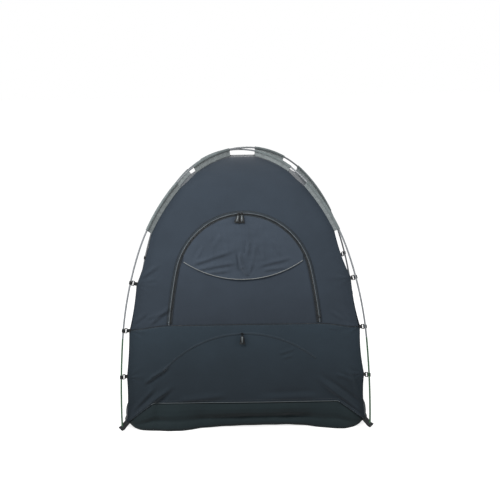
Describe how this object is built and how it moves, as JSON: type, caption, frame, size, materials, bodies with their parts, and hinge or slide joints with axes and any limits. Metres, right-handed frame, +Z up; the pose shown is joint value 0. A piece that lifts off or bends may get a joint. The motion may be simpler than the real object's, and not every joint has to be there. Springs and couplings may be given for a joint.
{
  "type": "blackout canopy tent",
  "caption": "Free-standing floorless blackout canopy on two crossed poles, with clips, sleeves, arched zipped door, pouch, lower zip, skirt and corner boots.",
  "frame": {"origin": "on the floor, straight under the crossing of the poles", "axes": "+Z up, front door faces -Y, +X to the right seen from the front"},
  "size_m": [1.3114, 0.9752, 1.4146],
  "materials": {
    "upper_cloth": "matt knitted blackout cloth, slate grey",
    "lower_cloth": "matt knitted blackout cloth, darker below the waist seam",
    "skirt_cloth": "matt knitted cloth, darkest at the floor",
    "sleeve_cloth": "ribbed grey webbing cloth",
    "piping": "light bound edge",
    "zip_tape": "woven tape",
    "webbing": "black ribbed webbing",
    "boot_webbing": "dark ribbed webbing",
    "pole_grey": "satin grey",
    "pole_green": "satin dark green",
    "ferrule": "drawn tube",
    "shock_cord": "braided elastic",
    "tip_plastic": "moulded",
    "clip_plastic": "moulded black",
    "slider_metal": "black lacquered die casting",
    "pull_rubber": "soft black moulding"
  },
  "bodies": {
    "shell": {"back_lower_panel": "lower_cloth", "back_skirt": "skirt_cloth", "back_upper_panel": "upper_cloth", "boot_front_left": "boot_webbing", "boot_front_right": "boot_webbing", "boot_rear_left": "boot_webbing", "boot_rear_right": "boot_webbing", "clip_tethers": "webbing", "crown_panel": "upper_cloth", "door_zip_outer_tape": "zip_tape", "fan_zip_tape": "zip_tape", "front_lower_panel": "lower_cloth", "front_skirt": "skirt_cloth", "front_upper_panel": "upper_cloth", "left_panel": "upper_cloth", "left_skirt": "skirt_cloth", "pole_a_ferrules": "ferrule", "pole_a_lower_sections": "pole_green", "pole_a_shock_cord": "shock_cord", "pole_a_upper_sections": "pole_grey", "pole_b_ferrules": "ferrule", "pole_b_lower_sections": "pole_green", "pole_b_shock_cord": "shock_cord", "pole_b_upper_sections": "pole_grey", "pole_tips": "tip_plastic", "right_panel": "upper_cloth", "right_skirt": "skirt_cloth", "sleeve_front_left": "sleeve_cloth", "sleeve_front_right": "sleeve_cloth", "sleeve_rear_left": "sleeve_cloth", "sleeve_rear_right": "sleeve_cloth"},
    "door": {"door_panel": "upper_cloth", "door_zip_inner_tape": "zip_tape", "door_pouch": "upper_cloth", "pouch_piping": "piping"},
    "clip_front_left_1": {"clip_front_left_1": "clip_plastic"},
    "clip_front_left_2": {"clip_front_left_2": "clip_plastic"},
    "clip_front_left_3": {"clip_front_left_3": "clip_plastic"},
    "clip_front_right_1": {"clip_front_right_1": "clip_plastic"},
    "clip_front_right_2": {"clip_front_right_2": "clip_plastic"},
    "clip_front_right_3": {"clip_front_right_3": "clip_plastic"},
    "clip_rear_right_1": {"clip_rear_right_1": "clip_plastic"},
    "clip_rear_right_2": {"clip_rear_right_2": "clip_plastic"},
    "clip_rear_right_3": {"clip_rear_right_3": "clip_plastic"},
    "clip_rear_left_1": {"clip_rear_left_1": "clip_plastic"},
    "clip_rear_left_2": {"clip_rear_left_2": "clip_plastic"},
    "clip_rear_left_3": {"clip_rear_left_3": "clip_plastic"},
    "door_left_slider": {"door_left_slider": "slider_metal"},
    "door_left_bail": {"door_left_bail": "slider_metal"},
    "door_left_pull": {"door_left_pull": "pull_rubber"},
    "door_right_slider": {"door_right_slider": "slider_metal"},
    "door_right_bail": {"door_right_bail": "slider_metal"},
    "door_right_pull": {"door_right_pull": "pull_rubber"},
    "fan_slider": {"fan_slider": "slider_metal"},
    "fan_bail": {"fan_bail": "slider_metal"},
    "fan_pull": {"fan_pull": "pull_rubber"}
  },
  "joints": [
    {"name": "door_fold", "type": "hinge", "parent": "shell", "child": "door", "pos_m": [0, -0.42289, 0.539], "axis": [1, 0, 0], "range_deg": [0, 140]},
    {"name": "clip_front_left_1_swing", "type": "hinge", "parent": "shell", "child": "clip_front_left_1", "pos_m": [-0.55634, -0.40039, 0.75673], "axis": [0.2287, 0.1646, 0.9595], "range_deg": [0, 70]},
    {"name": "clip_front_left_2_swing", "type": "hinge", "parent": "shell", "child": "clip_front_left_2", "pos_m": [-0.59707, -0.4297, 0.51863], "axis": [0.1051, 0.0756, 0.9916], "range_deg": [0, 70]},
    {"name": "clip_front_left_3_swing", "type": "hinge", "parent": "shell", "child": "clip_front_left_3", "pos_m": [-0.61326, -0.44135, 0.28126], "axis": [0.0412, 0.0297, 0.9987], "range_deg": [0, 70]},
    {"name": "clip_front_right_1_swing", "type": "hinge", "parent": "shell", "child": "clip_front_right_1", "pos_m": [0.55126, -0.39674, 0.768], "axis": [-0.2395, 0.1723, 0.9555], "range_deg": [0, 70]},
    {"name": "clip_front_right_2_swing", "type": "hinge", "parent": "shell", "child": "clip_front_right_2", "pos_m": [0.59568, -0.4287, 0.52184], "axis": [-0.1116, 0.0804, 0.9905], "range_deg": [0, 70]},
    {"name": "clip_front_right_3_swing", "type": "hinge", "parent": "shell", "child": "clip_front_right_3", "pos_m": [0.61313, -0.44126, 0.27473], "axis": [-0.0419, 0.0301, 0.9987], "range_deg": [0, 70]},
    {"name": "clip_rear_right_1_swing", "type": "hinge", "parent": "shell", "child": "clip_rear_right_1", "pos_m": [0.55498, 0.39941, 0.7624], "axis": [-0.2316, -0.1667, 0.9584], "range_deg": [0, 70]},
    {"name": "clip_rear_right_2_swing", "type": "hinge", "parent": "shell", "child": "clip_rear_right_2", "pos_m": [0.59622, 0.42909, 0.52645], "axis": [-0.1091, -0.0785, 0.9909], "range_deg": [0, 70]},
    {"name": "clip_rear_right_3_swing", "type": "hinge", "parent": "shell", "child": "clip_rear_right_3", "pos_m": [0.61313, 0.44126, 0.28423], "axis": [-0.0419, -0.0301, 0.9987], "range_deg": [0, 70]},
    {"name": "clip_rear_left_1_swing", "type": "hinge", "parent": "shell", "child": "clip_rear_left_1", "pos_m": [-0.55498, 0.39941, 0.7529], "axis": [0.2316, -0.1667, 0.9584], "range_deg": [0, 70]},
    {"name": "clip_rear_left_2_swing", "type": "hinge", "parent": "shell", "child": "clip_rear_left_2", "pos_m": [-0.59622, 0.42909, 0.51695], "axis": [0.1091, -0.0785, 0.9909], "range_deg": [0, 70]},
    {"name": "clip_rear_left_3_swing", "type": "hinge", "parent": "shell", "child": "clip_rear_left_3", "pos_m": [-0.61313, 0.44126, 0.27473], "axis": [0.0419, -0.0301, 0.9987], "range_deg": [0, 70]},
    {"name": "door_left_slide_along", "type": "hinge", "parent": "shell", "child": "door_left_slider", "pos_m": [0.00928, -0.37507, 0.74452], "axis": [0.0664, -0.9737, 0.2182], "range_deg": [0, 66.2]},
    {"name": "door_left_bail_swivel", "type": "hinge", "parent": "door_left_slider", "child": "door_left_bail", "pos_m": [-0.02009, -0.29906, 1.09274], "axis": [0, 0.9159, -0.4014], "range_deg": [0, 66.2]},
    {"name": "door_left_pull_lift", "type": "hinge", "parent": "door_left_bail", "child": "door_left_pull", "pos_m": [-0.02213, -0.31032, 1.08721], "axis": [-0.9781, 0.0835, 0.1904], "range_deg": [0, 110]},
    {"name": "door_right_slide_along", "type": "hinge", "parent": "shell", "child": "door_right_slider", "pos_m": [-0.00798, -0.38144, 0.74753], "axis": [0.0528, 0.9711, -0.2326], "range_deg": [0, 70.52]},
    {"name": "door_right_bail_swivel", "type": "hinge", "parent": "door_right_slider", "child": "door_right_bail", "pos_m": [-0.00426, -0.29881, 1.0933], "axis": [0, -0.9157, 0.402], "range_deg": [0, 70.52]},
    {"name": "door_right_pull_lift", "type": "hinge", "parent": "door_right_bail", "child": "door_right_pull", "pos_m": [-0.00426, -0.31017, 1.08758], "axis": [-1, 0, 0], "range_deg": [0, 110]},
    {"name": "fan_slide_along", "type": "hinge", "parent": "shell", "child": "fan_slider", "pos_m": [0, -0.46416, -0.06345], "axis": [0, -0.9978, 0.0668], "range_deg": [-26.26, 23.86]},
    {"name": "fan_bail_swivel", "type": "hinge", "parent": "fan_slider", "child": "fan_bail", "pos_m": [-0.01173, -0.42682, 0.49394], "axis": [0, -0.9972, 0.0749], "range_deg": [-23.86, 26.26]},
    {"name": "fan_pull_lift", "type": "hinge", "parent": "fan_bail", "child": "fan_pull", "pos_m": [-0.01173, -0.43563, 0.48477], "axis": [-1, 0, 0], "range_deg": [0, 110]}
  ],
  "couplings": [
    {"joint": "door_left_slide_along", "follows": "door_fold", "ratio": 0.47285},
    {"joint": "door_left_bail_swivel", "follows": "door_fold", "ratio": 0.47285},
    {"joint": "door_right_slide_along", "follows": "door_fold", "ratio": 0.5037},
    {"joint": "door_right_bail_swivel", "follows": "door_fold", "ratio": 0.5037},
    {"joint": "fan_bail_swivel", "follows": "fan_slide_along", "ratio": -1}
  ]
}
